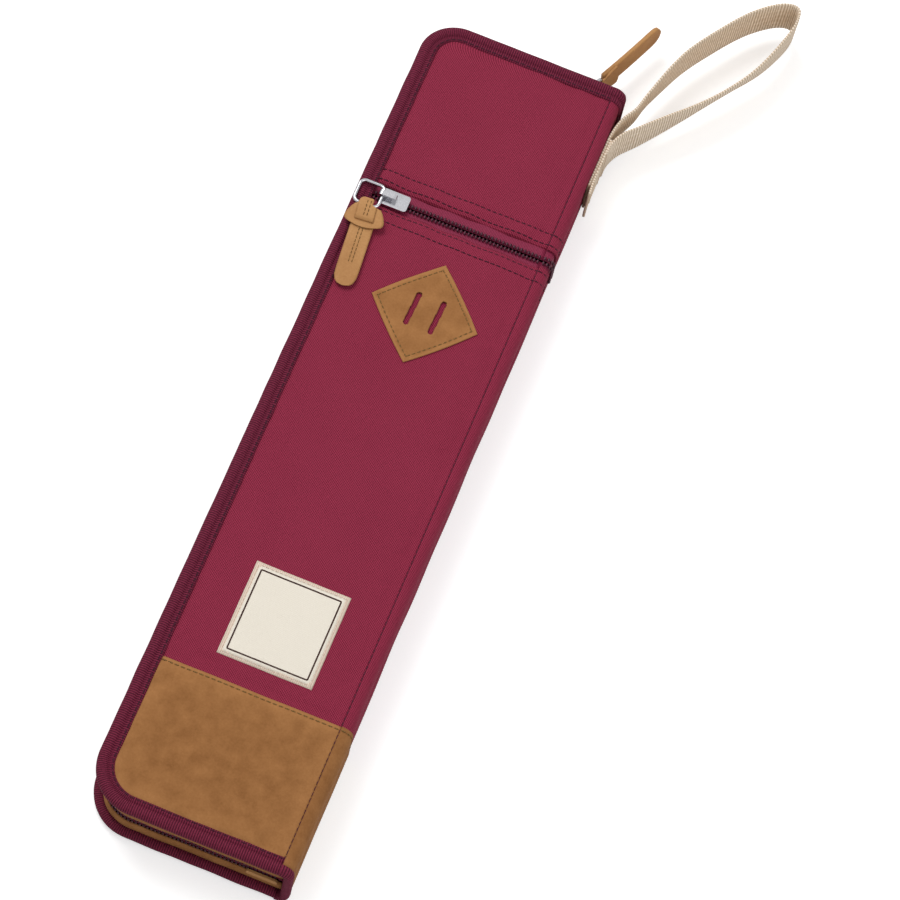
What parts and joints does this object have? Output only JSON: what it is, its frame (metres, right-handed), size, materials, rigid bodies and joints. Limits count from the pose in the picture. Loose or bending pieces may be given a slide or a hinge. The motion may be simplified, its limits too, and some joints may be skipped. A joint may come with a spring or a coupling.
{
  "type": "drum stick bag",
  "caption": "Padded drum stick bag that zips round three sides and opens like a book, with a zipped front pocket, leather base and trims, and a webbing hand strap.",
  "frame": {"origin": "centre of the back panel's outer face, which the bag rests on", "axes": "+X towards the spine, +Y along the length to the top end, +Z out of the front"},
  "size_m": [0.1771, 0.5605, 0.0416],
  "materials": {
    "shell_fabric": "matt woven nylon",
    "lining": "matt plain weave",
    "binding_tape": "ribbed grosgrain tape",
    "nubuck_leather": "napped",
    "smooth_leather": "satin, with a raw cut edge",
    "zip_tape": "matt",
    "zip_coil": "satin nylon",
    "webbing": "matt cotton weave",
    "hardware": "polished",
    "label_cloth": "fine satin weave"
  },
  "bodies": {
    "back": {"back_panel": "shell_fabric", "back_leather": "nubuck_leather", "back_binding": "binding_tape", "back_lining": "lining", "back_gusset": "shell_fabric", "back_gusset_leather": "nubuck_leather", "back_zip_tape": "zip_tape", "back_zip_coil": "zip_coil", "zip_end_tab": "smooth_leather", "stick_sleeve": "lining", "sleeve_binding": "binding_tape"},
    "spine": {"spine_panel": "shell_fabric", "spine_leather": "nubuck_leather", "spine_binding_top": "binding_tape", "spine_binding_bottom": "binding_tape", "strap_seam": "webbing", "strap_root": "webbing"},
    "strap": {"hand_strap": "webbing"},
    "cover": {"front_panel_upper": "shell_fabric", "front_panel_lower": "shell_fabric", "front_leather": "nubuck_leather", "front_binding": "binding_tape", "front_gusset": "shell_fabric", "front_gusset_leather": "nubuck_leather", "front_zip_tape": "zip_tape", "front_zip_coil": "zip_coil", "pocket_divider": "lining", "accessory_pocket": "lining", "pocket_tape_upper": "zip_tape", "pocket_tape_lower": "zip_tape", "pocket_coil_upper": "zip_coil", "pocket_coil_lower": "zip_coil", "lash_patch": "smooth_leather", "label_patch": "label_cloth"},
    "pocket_slider": {"pocket_slider": "hardware"},
    "pocket_ring": {"pocket_ring": "hardware"},
    "pocket_pull": {"pocket_pull_cap": "smooth_leather", "pocket_pull_strap": "smooth_leather"},
    "main_slider": {"main_slider": "hardware"},
    "main_ring": {"main_ring": "hardware"},
    "main_pull": {"main_pull_cap": "smooth_leather", "main_pull_strap": "smooth_leather"}
  },
  "joints": [
    {"name": "back_fold", "type": "hinge", "parent": "back", "child": "spine", "pos_m": [0.0542, 0, 0], "axis": [0, 1, 0], "range_deg": [0, 78]},
    {"name": "front_fold", "type": "hinge", "parent": "spine", "child": "cover", "pos_m": [0.0542, 0, 0.0362], "axis": [0, 1, 0], "range_deg": [0, 102]},
    {"name": "strap_twist", "type": "hinge", "parent": "spine", "child": "strap", "pos_m": [0.057, 0.236, 0.004], "axis": [0, 1, 0], "range_deg": [-78, 0]},
    {"name": "pocket_slide", "type": "slide", "parent": "cover", "child": "pocket_slider", "axis": [1, 0, 0], "range_m": [0, 0.07]},
    {"name": "pocket_ring_lift", "type": "hinge", "parent": "pocket_slider", "child": "pocket_ring", "pos_m": [-0.0394, 0.1245, 0.0389], "axis": [0, 1, 0], "range_deg": [0, 12]},
    {"name": "pocket_pull_lift", "type": "hinge", "parent": "pocket_ring", "child": "pocket_pull", "pos_m": [-0.0438, 0.1154, 0.0389], "axis": [-1, 0, 0], "range_deg": [0, 85]},
    {"name": "main_slide", "type": "slide", "parent": "back", "child": "main_slider", "axis": [-1, 0, 0], "range_m": [0, 0.05]},
    {"name": "main_ring_swing", "type": "hinge", "parent": "main_slider", "child": "main_ring", "pos_m": [0.0331, 0.2342, 0.014], "axis": [0, 0, 1], "range_deg": [-4, 60]},
    {"name": "main_pull_swing", "type": "hinge", "parent": "main_ring", "child": "main_pull", "pos_m": [0.03826, 0.24635, 0.014], "axis": [0, 0, 1], "range_deg": [-4, 50]}
  ],
  "couplings": [
    {"joint": "strap_twist", "follows": "back_fold", "ratio": -1}
  ]
}
